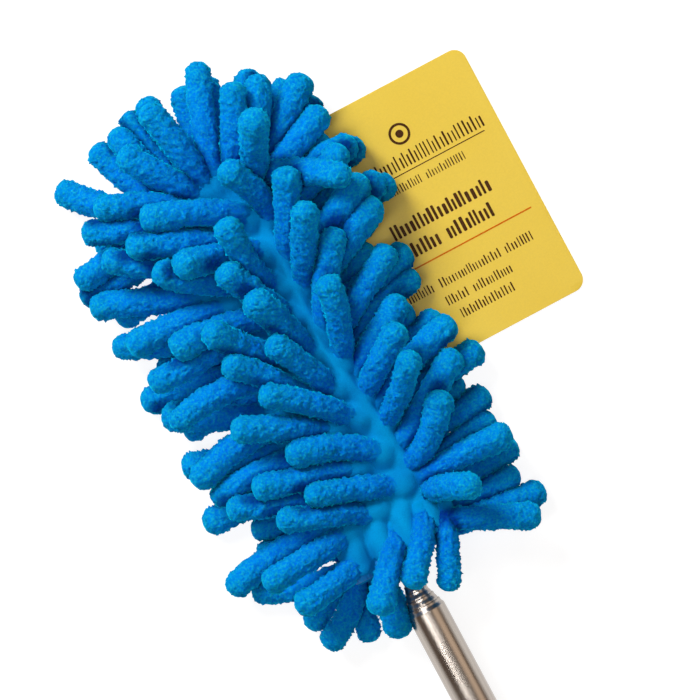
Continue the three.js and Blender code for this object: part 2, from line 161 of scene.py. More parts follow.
def smooth_by_angle(piece, degrees=32):
    """Shades smooth, with edges sharper than the angle kept."""
    shade_smooth(piece.data)
    limit = math.radians(degrees)
    with editing(piece.data) as work:
        for edge in work.edges:
            edge.smooth = len(edge.link_faces) == 2 and edge.calc_face_angle(0) < limit
    return piece


def turned(name, profile, material, around):
    """A piece turned about the pole's axis from (radius, y) pairs in mm. A profile that starts and
    ends on the axis is solid; any other one closes on itself as a ring."""
    solid = profile[0][0] == 0 and profile[-1][0] == 0
    angles = np.linspace(0, 2 * np.pi, around, endpoint=False)
    vertices, rings = [], []
    for radius, y in profile:
        if radius == 0:
            rings.append([len(vertices)])
            vertices.append((0, y * MM, 0))
            continue
        rings.append(list(range(len(vertices), len(vertices) + around)))
        for a in angles:
            vertices.append((radius * MM * math.sin(a), y * MM, radius * MM * math.cos(a)))
    faces = []
    for r in range(len(rings) - 1 if solid else len(rings)):
        low, high = rings[r], rings[(r + 1) % len(rings)]
        for k in range(around):
            nxt = (k + 1) % around
            if len(low) == 1:
                faces.append((low[0], high[nxt], high[k]))
            elif len(high) == 1:
                faces.append((low[k], low[nxt], high[0]))
            else:
                faces.append((low[k], low[nxt], high[nxt], high[k]))
    return smooth_by_angle(skin_piece(name, vertices, faces, material))


def plate(name, outlines, thickness, bevel, material, middle_z=0.0):
    """A flat plate in the XY plane with rounded edges. The first outline is its edge and the others
    are holes; points are in mm."""
    curve = bpy.data.curves.new(name, "CURVE")
    curve.dimensions = "2D"
    curve.fill_mode = "BOTH"
    curve.extrude = (thickness / 2 - bevel) * MM
    curve.bevel_depth = bevel * MM
    curve.bevel_resolution = 3
    curve.offset = -bevel * MM
    for outline in outlines:
        spline = curve.splines.new("POLY")
        spline.points.add(len(outline) - 1)
        for point, (x, y) in zip(spline.points, outline):
            point.co = (x * MM, y * MM, 0, 1)
        spline.use_cyclic_u = True
    holder = put_in_scene(name + "_outline", curve)
    mesh = finished_mesh(holder)
    bpy.data.objects.remove(holder)
    with editing(mesh) as work:
        bmesh.ops.remove_doubles(work, verts=work.verts, dist=1e-6)
        bmesh.ops.recalc_face_normals(work, faces=work.faces)
    mesh.name = name
    mesh.materials.clear()
    mesh.transform(Matrix.Translation((0, 0, middle_z * MM)))
    return smooth_by_angle(link(name, mesh, material))


def arc(cx, cy, radius, start, stop, steps=10):
    """Points on a circle between two angles in degrees."""
    angles = np.radians(np.linspace(start, stop, steps + 1))
    return [(cx + radius * math.cos(a), cy + radius * math.sin(a)) for a in angles]


def join_solids(piece, other):
    """Makes one closed skin of two solids that overlap."""
    modifier = piece.modifiers.new("union", "BOOLEAN")
    modifier.operation = "UNION"
    modifier.solver = "EXACT"
    modifier.object = other
    bake_modifiers(piece)
    bpy.data.objects.remove(other)


# ---- materials ---------------------------------------------------------------------------------
def set_stops(node, stops):
    """Gives a Color Ramp node its (place, colour) stops."""
    elements = node.color_ramp.elements
    while len(elements) < len(stops):
        elements.new(0.5)
    for element, (place, colour) in zip(elements, stops):
        element.position = place
        element.color = (*colour, 1)


class Shader:
    """A Principled material and the node shorthands that the finishes below share."""

    def __init__(self, title, **sockets):
        self.material = bpy.data.materials.new(title)
        self.material.use_nodes = True
        self.tree = self.material.node_tree
        self.bsdf = self.tree.nodes["Principled BSDF"]
        for name, value in sockets.items():
            self.bsdf.inputs[name.replace("_", " ")].default_value = value
        self.where = self.tree.nodes.new("ShaderNodeTexCoord").outputs["Object"]

    def feed(self, socket, value):
        """Gives an input a value or another node's output."""
        if isinstance(value, bpy.types.NodeSocket):
            self.tree.links.new(value, socket)
        else:
            socket.default_value = value

    def node(self, kind, **inputs):
        made = self.tree.nodes.new("ShaderNode" + kind)
        for name, value in inputs.items():
            self.feed(made.inputs[name.replace("_", " ")], value)
        return made

    def stretched(self, scale):
        return self.node("Mapping", Vector=self.where, Scale=scale).outputs["Vector"]

    def noise(self, scale, detail=2.0, roughness=0.5, vector=None):
        made = self.node("TexNoise", Scale=scale, Detail=detail, Roughness=roughness)
        self.feed(made.inputs["Vector"], vector or self.where)
        return made.outputs["Fac"]

    def ramp(self, source, *stops):
        made = self.node("ValToRGB", Fac=source)
        set_stops(made, stops)
        return made.outputs["Color"]

    def attribute(self, name):
        made = self.node("Attribute")
        made.attribute_name = name
        return made.outputs["Fac"]

    def span(self, source, low, high, to_low, to_high):
        made = self.node("MapRange", Value=source, From_Min=low, From_Max=high,
                         To_Min=to_low, To_Max=to_high)
        return made.outputs["Result"]

    def mix(self, share, first, second, blend="MIX"):
        made = self.node("Mix")
        made.data_type = "RGBA"
        made.blend_type = blend
        for socket, value in ((0, share), (6, first), (7, second)):
            self.feed(made.inputs[socket], value)
        return made.outputs[2]

    def bump(self, height, distance, strength, **after):
        """Bumps the surface; after is Normal= the output of a bump below this one."""
        made = self.node("Bump", Height=height, Distance=distance, Strength=strength, **after)
        self.feed(self.bsdf.inputs["Normal"], made.outputs["Normal"])
        return made.outputs["Normal"]

    def colour(self, source):
        self.feed(self.bsdf.inputs["Base Color"], source)

    def rough(self, source):
        self.feed(self.bsdf.inputs["Roughness"], source)


CLOTH_DARK = (0.0, 0.20, 0.50)
CLOTH_MIDDLE = (0.0, 0.23, 0.54)
CLOTH_LIGHT = (0.0, 0.265, 0.59)
PILE_FLECKS = ((0.28, (0.0, 0.145, 0.66)), (0.5, (0.0, 0.22, 0.62)), (0.72, (0.008, 0.33, 0.56)))


def chenille_material():
    """Cut pile: flecks of lit and shaded fibre, smoother and cloth-coloured next to the root, with
    painted shade where noodles touch and towards the root and painted light at the tip.
    """
    s = Shader("chenille", Roughness=1.0, Sheen_Weight=0.8, Sheen_Roughness=0.4,
               Sheen_Tint=(0.0, 0.64, 0.88, 1), Specular_IOR_Level=0.02)
    pile = s.noise(1050, 1.5, 0.6)
    clumps = s.noise(380, 2, 0.6)
    fleck = s.ramp(pile, *PILE_FLECKS)
    shade = s.ramp(clumps, (0.3, (0.80, 0.80, 0.94)), (0.6, (1.0, 1.0, 1.0)))
    speckled = s.mix(1.0, fleck, shade, "MULTIPLY")
    along = s.attribute("along")
    # painted shade: darker and bluer where other noodles touch or come near
    shaded = s.ramp(s.attribute("painted_contact_shade"), (0.2, (1.0, 1.0, 1.0)), (1.0, (0.26, 0.19, 0.38)))
    # painted shade towards a noodle's root and painted light, lighter and more cyan, at its tip
    root_shade_tip_light = s.ramp(along, (0.25, (0.80, 0.76, 0.94)), (0.7, (1.0, 1.0, 1.0)), (1.0, (1.0, 1.12, 0.90)))
    pile_colour = s.mix(1.0, s.mix(1.0, speckled, root_shade_tip_light, "MULTIPLY"), shaded, "MULTIPLY")
    s.colour(s.mix(s.span(along, 0.05, 0.2, 0.0, 1.0), (*CLOTH_MIDDLE, 1), pile_colour))
    coarse = s.bump(clumps, 0.0009, 0.4)
    s.bump(pile, 0.0005, 0.55, Normal=coarse)
    return s.material


def cloth_material():
    s = Shader("cover_cloth", Roughness=0.95, Sheen_Weight=0.35, Sheen_Roughness=0.4,
               Sheen_Tint=(0.0, 0.55, 0.85, 1), Specular_IOR_Level=0.05)
    nap = s.noise(1900, 2, 0.6)
    drift = s.noise(60, 2, 0.5)
    base = s.ramp(drift, (0.35, CLOTH_DARK), (0.65, CLOTH_LIGHT))
    speck = s.ramp(nap, (0.35, (0.80, 0.85, 0.90)), (0.62, (1.0, 1.0, 1.0)))
    s.colour(s.mix(1.0, base, speck, "MULTIPLY"))
    s.bump(nap, 0.0003, 0.6)
    return s.material


def elastic_material():
    s = Shader("hem_elastic_cloth", Roughness=0.85, Sheen_Weight=0.3, Specular_IOR_Level=0.2)
    ribs = s.noise(900, 1, 0.4, s.stretched((1, 0.18, 1)))
    s.colour(s.ramp(ribs, (0.35, (0.0, 0.15, 0.45)), (0.65, (0.002, 0.26, 0.66))))
    s.bump(ribs, 0.0004, 0.7)
    return s.material


def steel_material():
    s = Shader("polished_steel", Roughness=0.2, Metallic=1.0)
    draw_marks = s.noise(900, 3, 0.6, s.stretched((1, 0.012, 1)))
    cloudy = s.noise(70, 2, 0.5, s.stretched((1, 0.35, 1)))
    s.colour(s.ramp(draw_marks, (0.3, (0.40, 0.355, 0.315)), (0.7, (0.50, 0.45, 0.405))))
    s.rough(s.span(cloudy, 0.3, 0.7, 0.22, 0.32))
    s.bump(draw_marks, 0.00004, 0.35)
    return s.material


def moulded_material(name, dark, light, roughness, grain=2600, depth=0.00006):
    s = Shader(name, Roughness=roughness)
    sand = s.noise(grain, 2, 0.6)
    drift = s.noise(45, 2, 0.5)
    s.colour(s.ramp(drift, (0.3, dark), (0.7, light)))
    s.rough(s.span(sand, 0.3, 0.7, roughness - 0.07, roughness + 0.08))
    s.bump(sand, depth, 0.5)
    return s.material


def card_material():
    s = Shader("tag_card_print", Roughness=0.42, Specular_IOR_Level=0.42)
    fibre = s.noise(1400, 3, 0.6)
    drift = s.noise(18, 2, 0.5)
    base = s.ramp(drift, (0.3, (0.695, 0.485, 0.032)), (0.7, (0.73, 0.525, 0.048)))
    speck = s.ramp(fibre, (0.35, (0.95, 0.95, 0.93)), (0.65, (1, 1, 1)))
    s.colour(s.mix(1.0, base, speck, "MULTIPLY"))
    s.rough(s.span(fibre, 0.3, 0.7, 0.38, 0.5))
    s.bump(fibre, 0.00003, 0.4)
    return s.material


def ink_material(name, thin, full):
    s = Shader(name, Roughness=0.5, Specular_IOR_Level=0.1)
    patch = s.noise(1100, 2, 0.6)
    s.colour(s.ramp(patch, (0.3, thin), (0.6, full)))
    s.rough(s.span(patch, 0.3, 0.7, 0.45, 0.6))
    return s.material


def nylon_material():
    s = Shader("clear_nylon", Roughness=0.3, IOR=1.53, Transmission_Weight=0.35)
    drift = s.noise(300, 2, 0.5)
    s.colour(s.ramp(drift, (0.3, (0.80, 0.82, 0.83)), (0.7, (0.9, 0.91, 0.92))))
    s.rough(s.span(drift, 0.3, 0.7, 0.25, 0.4))
    return s.material


# ---- the chenille noodles ----------------------------------------------------------------------
NOODLE_RADIUS = 4.95 * MM
NOODLE_LENGTH = 42 * MM
ROOT_DEPTH = 2.6 * MM  # how far under the cloth's surface a noodle begins
LINKS = 6

# Tables of (y in mm, value). The parting runs along the top of the sleeve, measured round the sleeve
# from the middle of its top. Leans are in degrees from straight out towards the head's tip.
PARTING = ((270, 15), (290, 18.5), (310, 17), (335, 14.5), (350, 12.6), (385, 14), (418, 15.5))
LEAN_CREST = ((285, 20), (300, 31), (320, 39), (380, 41), (412, 40))
LEAN_INNER = ((286, 14), (300, 24), (320, 31), (380, 28), (412, 30))
LEAN_LEFT = ((270, -14), (278, -6), (287, 5), (310, 13), (340, 16), (390, 17), (410, 20), (425, 27))
LEAN_RIGHT_UPPER = ((272, -26), (284, -18), (294, -2), (306, 36), (320, 58), (380, 64), (425, 76))
LEAN_RIGHT_MIDDLE = ((268, -18), (285, -10), (300, 12), (315, 30), (380, 33), (425, 22))
LEAN_RIGHT_LOWER = ((268, -16), (285, -4), (300, 12), (315, 26), (340, 24), (380, 22), (425, 14))

# Rows sewn along the sleeve: their place round it in mm, whether that is from the parting or from the
# middle of its top, the side they lie to, how steeply they start, their lean, the first and last root's
# y in mm, how many they are and their share of the full length.
ROWS = (
    ("noodles_top_crest", -4.6, True, -1, 30, LEAN_CREST, 290.5, 409, 9, 0.97),
    ("noodles_top_inner", 1.0, False, -1, 28, LEAN_INNER, 287.0, 403, 8, 1.0),
    ("noodles_top_outer", -12.5, False, -1, 30, LEAN_LEFT, 284.0, 415.5, 9, 1.0),
    ("noodles_left_edge", -23.6, False, -1, 0, LEAN_LEFT, 272.0, 424, 10, 1.0),
    ("noodles_right_upper", 3.6, True, 1, 40, LEAN_RIGHT_UPPER, 282.0, 419, 10, 0.97),
    ("noodles_right_upper", 20.5, False, 1, 22, LEAN_RIGHT_MIDDLE, 274.0, 416, 10, 1.0),
    ("noodles_right_lower", 25.2, False, 1, 0, LEAN_RIGHT_LOWER, 268.5, 423, 11, 1.08),
    ("noodles_under_left", -35.2, False, -1, -20, LEAN_LEFT, 276.0, 413.5, 9, 1.0),
    ("noodles_under_right", 35.2, False, 1, -20, LEAN_RIGHT_LOWER, 274.0, 411.5, 9, 1.1),
)
FARTHEST_FROM_PARTING = 21.5  # mm round the sleeve where a row that follows the parting stops

# Fans round the two ends: row, first and last root x, root z, first and last direction in degrees from
# straight along the pole, start angle, length share and number of noodles.
FANS = (
    ("noodles_tip", -15, 19, -1.5, 65, -72, 0, 1.06, 10),
    ("noodles_tip", -6, 16, 4.0, 60, -56, 28, 1.02, 6),
    ("noodles_base", -13, -7, -2.0, -48, -32, -4, 0.84, 2),
    ("noodles_base", -16, -8, -5.0, -66, -44, -14, 0.84, 3),
)
# Single noodles, over the mouth's gathers or worked loose: row, root x, y, z, direction, start angle,
# length share, curl.
STRAYS = (
    ("noodles_base", 25.0, 277.0, 4.0, -107, 6, 0.84, 0.3),
    ("noodles_base", 16.5, 279.0, 5.5, -99, 10, 0.78, 0.0),
    ("noodles_base", 5.0, 278.0, 5.0, -134, 8, 0.88, 0.0),
    ("noodles_base", -9.0, 274.0, 4.0, -163, 4, 0.90, 0.0),
    ("noodles_right_upper", 18.4, 424, 3.4, -24, 26, 1.25, 0.5),
    ("noodles_right_lower", 19.0, 409, -1.5, 12, 4, 1.12, 0.3),
)


def between(y, pairs):
    """The value of a table at y, in metres."""
    places, values = zip(*pairs)
    return float(np.interp(y / MM, places, values))


def round_oval(run, flat, radius):
    """The x and z of a point that far round an oval from the middle of its top. The oval's top is
    flat for that far to each side, and its sides are half-round."""
    side = 1 if run >= 0 else -1
    run = abs(run)
    bend = math.pi * radius
    if run < flat:
        return side * run, radius
    if run < flat + bend:
        angle = (run - flat) / radius
        return side * (flat + radius * math.sin(angle)), radius * math.cos(angle)
    return side * (2 * flat + bend - run), -radius


def noodle_plan():
    """Every noodle as (row, root, first direction, direction it lies in, length, curl)."""
    random = np.random.default_rng(SEED)
    plan = []

    def put(row, root, azimuth, rise, share, turn=5.0, lift=6.0, curl=0.0):
        a = math.radians(azimuth + random.normal(0, turn))
        e = math.radians(rise + random.normal(0, lift))
        lie = np.array([math.cos(a), math.sin(a), 0])
        start = lie * math.cos(e) + np.array([0, 0, math.sin(e)])
        length = NOODLE_LENGTH * share * (1 + random.normal(0, 0.06))
        bend = curl + random.normal(0, 0.26)
        plan.append((row, np.array(root) - start * ROOT_DEPTH, start, lie, length + ROOT_DEPTH, bend))

    for row, x, y, z, azimuth, rise, share, curl in STRAYS:
        put(row, (x * MM, y * MM, z * MM), azimuth, rise, share, 0, 0, curl)
    for row, place, from_parting, side, rise, lean, first, last, count, share in ROWS:
        for k in range(count):
            y = (first + (last - first) * k / (count - 1) + random.normal(0, 1.0)) * MM
            run = place
            if from_parting:
                run = min(place + between(y, PARTING), FARTHEST_FROM_PARTING)
            x, z = round_oval(run * MM, SLEEVE_FLAT, SLEEVE_TOP)
            angle = between(y, lean)
            put(row, (x, y, z), angle if side > 0 else 180 - angle, rise, share)
    for row, x0, x1, z, a0, a1, rise, share, count in FANS:
        at_tip = row == "noodles_tip"
        middle, turn, lift = (90, 5, 6) if at_tip else (-90, 4, 4)
        for k in range(count):
            along = k / (count - 1)
            edge = abs(2 * along - 1) ** 3  # the tip's outer roots lie farther back
            y = END_Y - (1 + 6 * edge) * MM if at_tip else MOUTH_Y + 8 * MM
            root = ((x0 + (x1 - x0) * along) * MM, y, z * MM)
            put(row, root, middle + a0 + (a1 - a0) * along, rise, share, turn, lift)
    return plan


SETTLE_STEPS = 150
STIFFNESS = 0.2  # share of a bend that is taken back in each pass
PUSH = 1.2  # share of an overlap that is cleared in each pass; more than 1 settles sooner
GLIDE = 0.82  # share of its speed that a bead keeps
FALL = 0.14 * MM  # speed that a bead gains in each step
STRAIGHT_ON = 0.72  # how much of its start direction a noodle keeps from link to link
PRESSED = 0.9  # a noodle's radius where it lies on something hard, as a share
SUNK_IN_CLOTH = 0.85  # the same where it lies on the sleeve
TAG_MARGIN = 6 * MM  # round the tag that the pile stays above as well
TAG_ROOM = 1.8 * MM  # over the tag, for it to swing
NECK_LOW, NECK_HIGH = 245.5 * MM, 258 * MM  # the pole steps down to its thinnest section between these


def keep_links(chain, held, link_length):
    """Moves each chain's points so that its links have their length again."""
    for i in range(LINKS):
        step = chain[:, i + 1] - chain[:, i]
        length = np.linalg.norm(step, axis=1)[:, None]
        error = step * (1 - link_length[:, None] / length)
        free_a = (~held[:, i]).astype(float)[:, None]
        free_b = (~held[:, i + 1]).astype(float)[:, None]
        total = np.maximum(free_a + free_b, 1)
        chain[:, i] += error * free_a / total
        chain[:, i + 1] -= error * free_b / total


def keep_shape(chain, held, curl):
    """A noodle's core of yarn resists bending away from its own slight curl."""
    for i in range(LINKS - 1):
        pull = ((chain[:, i] + chain[:, i + 2]) / 2 + curl - chain[:, i + 1]) * STIFFNESS
        chain[:, i + 1] += pull * (~held[:, i + 1])[:, None]
        chain[:, i + 2] -= pull * (~held[:, i + 2])[:, None]
        chain[:, i] -= pull * 0.5 * (~held[:, i])[:, None]


def near_pairs(points, skip, reach):
    """The pairs of points that are close enough to touch soon."""
    apart = points[:, None, :] - points[None, :, :]
    close = ((apart ** 2).sum(-1) < reach ** 2) & ~skip
    first, second = np.nonzero(close)
    order = first < second
    return first[order], second[order]


def push_apart(points, free, pairs, gap):
    """Noodles that press into each other move apart."""
    first, second = pairs
    step = points[first] - points[second]
    length = np.linalg.norm(step, axis=1)
    touch = (length < gap) & (length > 1e-6)
    first, second, step, length = first[touch], second[touch], step[touch], length[touch][:, None]
    push = step / length * (gap - length)
    free_a, free_b = free[first][:, None], free[second][:, None]
    change = np.zeros_like(points)
    hits = np.zeros(len(points))
    np.add.at(change, first, push * free_a / (free_a + free_b))
    np.add.at(change, second, -push * free_b / (free_a + free_b))
    np.add.at(hits, first, 1)
    np.add.at(hits, second, 1)
    points += change / np.maximum(hits, 1)[:, None] * PUSH


def push_off_solids(chain, held):
    """Keeps the noodles outside the sleeve and the pole and above the table and the tag."""
    x, y, z = chain[..., 0], chain[..., 1], chain[..., 2]
    middle = np.clip(x, -SLEEVE_FLAT, SLEEVE_FLAT)
    away = np.sqrt((x - middle) ** 2 + z ** 2) + 1e-9
    need = SLEEVE_TOP + NOODLE_RADIUS * SUNK_IN_CLOTH
    inside = (y > MOUTH_Y) & (y < END_Y) & (away < need) & ~held
    grow = np.where(inside, need / away, 1)
    chain[..., 0] = middle + (x - middle) * grow
    chain[..., 2] = z * grow
    x, z = chain[..., 0], chain[..., 2]
    away = np.sqrt(x ** 2 + z ** 2) + 1e-9
    pole = np.interp(y, (NECK_LOW, NECK_HIGH), (SECTION_RADIUS[0] * MM, SECTION_RADIUS[-1] * MM))
    need = pole + NOODLE_RADIUS * PRESSED
    inside = (y < MOUTH_Y + 4 * MM) & (away < need) & ~held
    upper = chain[:, :1, 2] > 0
    grow = np.where(inside & ~upper, need / away, 1)
    chain[..., 0] = x * grow
    over = np.sqrt(np.maximum(need ** 2 - x ** 2, 0))
    chain[..., 2] = np.where(inside & upper, np.maximum(z, over), z * grow)
    x, z = chain[..., 0], chain[..., 2]
    over_tag = (x > TAG_LOW.x - TAG_MARGIN) & (x < TAG_HIGH.x)
    over_tag &= (y > TAG_LOW.y - TAG_MARGIN) & (y < TAG_HIGH.y + TAG_MARGIN)
    ground = np.where(over_tag, TAG_HIGH.z + TAG_ROOM, TABLE_Z) + NOODLE_RADIUS * PRESSED
    chain[..., 2] = np.where((z < ground) & ~held, ground, z)


def settle(plan):
    """Lets the noodles fall, bend and lie on each other, as chains of beads."""
    count = len(plan)
    link_length = np.array([entry[4] for entry in plan]) / LINKS
    chain = np.zeros((count, LINKS + 1, 3))
    chain[:, 0] = [entry[1] for entry in plan]
    heading = np.array([entry[2] for entry in plan])
    lie = np.array([entry[3] for entry in plan])
    across = np.column_stack([lie[:, 1], -lie[:, 0], lie[:, 2]])
    curl = across * (np.array([entry[5] for entry in plan]) * -MM)[:, None]
    for i in range(1, LINKS + 1):
        chain[:, i] = chain[:, i - 1] + heading * link_length[:, None]
        heading = heading * STRAIGHT_ON + lie * (1 - STRAIGHT_ON)
        heading /= np.linalg.norm(heading, axis=1)[:, None]
    held = np.zeros((count, LINKS + 1), bool)
    held[:, :2] = True
    free = (~held).reshape(-1).astype(float)
    owner = np.repeat(np.arange(count), LINKS + 1)
    place = np.tile(np.arange(LINKS + 1), count)
    skip = (owner[:, None] == owner[None, :]) & (np.abs(place[:, None] - place[None, :]) < 3)
    skip |= (free[:, None] + free[None, :]) == 0
    gap = 2 * NOODLE_RADIUS * 0.98
    before = chain.copy()
    for step in range(SETTLE_STEPS):
        if step % 4 == 0:
            pairs = near_pairs(chain.reshape(-1, 3), skip, gap * 1.7)
        glide = (chain - before) * GLIDE
        before = chain.copy()
        glide[..., 2] -= FALL
        chain += glide * (~held)[..., None]
        for _ in range(3):
            keep_links(chain, held, link_length)
            keep_shape(chain, held, curl)
            push_apart(chain.reshape(-1, 3), free, pairs, gap)
            push_off_solids(chain, held)
    return chain


def smooth_line(points, count):
    """A Catmull-Rom curve through the points, evenly spaced along its length."""
    padded = np.vstack([2 * points[0] - points[1], points, 2 * points[-1] - points[-2]])
    fine = []
    for i in range(1, len(padded) - 2):
        p0, p1, p2, p3 = padded[i - 1 : i + 3]
        for t in np.linspace(0, 1, 12, endpoint=False):
            fine.append(
                0.5 * (2 * p1 + (p2 - p0) * t + (2 * p0 - 5 * p1 + 4 * p2 - p3) * t * t
                       + (3 * p1 - p0 - 3 * p2 + p3) * t ** 3))
    fine.append(points[-1])
    fine = np.array(fine)
    run = np.concatenate([[0], np.cumsum(np.linalg.norm(np.diff(fine, axis=0), axis=1))])
    places = np.linspace(0, run[-1], count)
    return np.column_stack([np.interp(places, run, fine[:, k]) for k in range(3)])


def frames_along(line):
    """Directions along the line and two more across it that don't twist."""
    ahead = np.gradient(line, axis=0)
    ahead /= np.linalg.norm(ahead, axis=1)[:, None]
    guide = np.array([0, 0, 1.0]) if abs(ahead[0][2]) < 0.9 else np.array([0, 1.0, 0])
    across = np.cross(ahead[0], guide)
    sides, lifts = [], []
    for direction in ahead:
        across = across - direction * across.dot(direction)
        across /= np.linalg.norm(across)
        sides.append(across.copy())
        lifts.append(np.cross(across, direction))
    return ahead, np.array(sides), np.array(lifts)


NOODLE_AROUND = 42
NOODLE_ALONG = 54
GIRTH_AT = (0, 0.1, 0.3, 0.6, 0.88, 1)  # shares of the way along
GIRTH = (0.76, 0.87, 0.93, 0.99, 1.05, 1.04)  # and a noodle's radius there, as shares
TUFTS, TUFT_SWELL = (9, 6), 0.032  # coarse lumps along and round a noodle; share of its radius
CLUMPS, CLUMP_RISE = (22, 16), 0.18  # finer ones; mm
PILE_RISE, PILE_DRIFT = 0.36, 0.16  # mm that single tufts of fibre stand out and lean over


def noodle_skin(points, radius, random):
    """Rings of points round one noodle, with a round end, roughened like cut pile, and each ring's
    share of the way along."""
    along = 1 - (1 - np.linspace(0, 1, NOODLE_ALONG)) ** 1.12
    line = smooth_line(points, 64)
    length = np.linalg.norm(np.diff(line, axis=0), axis=1).sum()
    places = along * (len(line) - 1)
    line = np.column_stack([np.interp(places, np.arange(len(line)), line[:, k]) for k in range(3)])
    _, side, lift = frames_along(line)
    cap = radius / length
    into_cap = np.clip((along - (1 - cap)) / cap, 0, 1)
    swell = random.normal(0, 0.035, 4)
    girth = np.interp(along, GIRTH_AT, GIRTH)
    girth += np.interp(along, (0, 0.3, 0.6, 0.9), swell)
    girth *= np.sqrt(np.clip(1 - into_cap ** 2, 0, 1))
    angles = np.linspace(0, 2 * np.pi, NOODLE_AROUND, endpoint=False)
    coarse = patchy(random, *TUFTS)
    fine = patchy(random, *CLUMPS)
    pile = random.normal(0, 1, (NOODLE_ALONG, NOODLE_AROUND))
    hairy = np.clip(girth * 1.3, 0, 1) * np.interp(along, (0.05, 0.28), (0.15, 1))
    size = radius * girth[:, None] * (1 + TUFT_SWELL * coarse)
    size += hairy[:, None] * MM * (PILE_RISE * np.clip(pile, -1.2, 2.4) + CLUMP_RISE * fine)
    ring = side[:, None, :] * np.cos(angles)[:, None] + lift[:, None, :] * np.sin(angles)[:, None]
    drift = random.normal(0, PILE_DRIFT * MM, (NOODLE_ALONG, NOODLE_AROUND, 3)) * hairy[:, None, None]
    skin = line[:, None, :] + ring * size[..., None] + drift
    skin[..., 2] = np.maximum(skin[..., 2], TABLE_Z + 0.02 * MM)
    return skin, along


def patchy(random, rows, columns):
    """Smooth random values over a noodle's rings and the points round them."""
    grid = random.normal(0, 1, (rows, columns))
    grid = np.hstack([grid, grid[:, :1]])
    u = np.linspace(0, rows - 1.001, NOODLE_ALONG)[:, None]
    v = np.linspace(0, columns, NOODLE_AROUND, endpoint=False)[None, :]
    r, c = u.astype(int), v.astype(int)
    fr, fc = u - r, v - c
    top = grid[r, c] * (1 - fc) + grid[r, c + 1] * fc
    low = grid[r + 1, c] * (1 - fc) + grid[r + 1, c + 1] * fc
    return top * (1 - fr) + low * fr


CONTACT_SHADE_REACH = 3.4 * MM  # how far from its neighbours a noodle's pile still gets painted shade from them


def contact_shade_weight(points, neighbours):
    """For points on a noodle, the weight of the painted shade: 1 where another noodle touches and 0
    from that reach away.
    """
    margin = NOODLE_RADIUS + CONTACT_SHADE_REACH
    close = (neighbours > points.min(0) - margin) & (neighbours < points.max(0) + margin)
    neighbours = neighbours[close.all(1)]
    if not len(neighbours):
        return np.zeros(len(points))
    away = np.sqrt(((points[:, None] - neighbours[None]) ** 2).sum(-1)).min(1) - NOODLE_RADIUS
    return np.clip(1 - away / CONTACT_SHADE_REACH, 0, 1)


def noodle_faces():
    """One noodle's faces: those between its rings and those that close its end and its root."""
    faces = tube_faces(NOODLE_ALONG - 1, NOODLE_AROUND)
    end = (NOODLE_ALONG - 1) * NOODLE_AROUND
    last = end - NOODLE_AROUND
    steps = [(k, (k + 1) % NOODLE_AROUND) for k in range(NOODLE_AROUND)]
    faces.extend((last + a, last + b, end) for a, b in steps)
    faces.extend((b, a, end + 1) for a, b in steps)
    return faces


def row_piece(name, members, lines, material, random):
    """One row's noodles as a single mesh of closed tubes. Its "along" attribute runs from 0 at a
    noodle's root to 1 at its end, and a second attribute, the weight of the painted shade, rises to 1
    where noodles touch."""
    rings, faces, shares, painted_contact_shade, start = [], [], [], [], 0
    one = noodle_faces()
    for number, points in members:
        radius = NOODLE_RADIUS * (1 + random.normal(0, 0.05))
        skin, along = noodle_skin(points, radius, random)
        rings.append(np.vstack([skin[:-1].reshape(-1, 3), skin[-1].mean(0), skin[0].mean(0)]))
        shares.extend(np.repeat(along[:-1], NOODLE_AROUND))
        shares.extend((1.0, 0.0))
        painted_contact_shade.append(contact_shade_weight(rings[-1], np.vstack(lines[:number] + lines[number + 1 :])))
        faces.extend(tuple(start + corner for corner in face) for face in one)
        start += len(rings[-1])
    piece = skin_piece(name, np.vstack(rings), faces, material)
    for label, values in (("along", shares), ("painted_contact_shade", np.concatenate(painted_contact_shade))):
        attribute = piece.data.attributes.new(label, "FLOAT", "POINT")
        attribute.data.foreach_set("value", values)
    return piece


def make_noodles(material):
    plan = noodle_plan()
    chains = settle(plan)
    random = np.random.default_rng(SEED + 1)
    lines = [smooth_line(points, 22) for points in chains]
    by_row = {}
    for number, ((row, *_), points) in enumerate(zip(plan, chains)):
        by_row.setdefault(row, []).append((number, points))
    for row, members in by_row.items():
        piece = row_piece(row + "_pile", members, lines, material, random)
        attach(piece, "cover")
        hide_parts(row)
    return plan


# ---- the sleeve --------------------------------------------------------------------------------
def oval_ring(half_width, half_height, y, count):
    """Evenly spaced points round a flat oval, from the left end of its top."""
    flat = half_width - half_height
    total = 4 * flat + 2 * math.pi * half_height
    ring = []
    for k in range(count):
        run = total * k / count - flat
        x, z = round_oval(run if run < total / 2 else run - total, flat, half_height)
        ring.append((x, y, z))
    return ring


CLOTH_THICKNESS = 1.1 * MM
SEAM_REACH = 6.5 * MM  # round a noodle's root where its seam keeps the cloth from blowing up
SEAM_HOLD = 1.6  # how firmly; the cloth is pinned where this fades to 1 and nearer
MOST_BLOWN = 2.2 * MM
BLOW_FRAMES = 20
BLOW_PRESSURE = 3.0


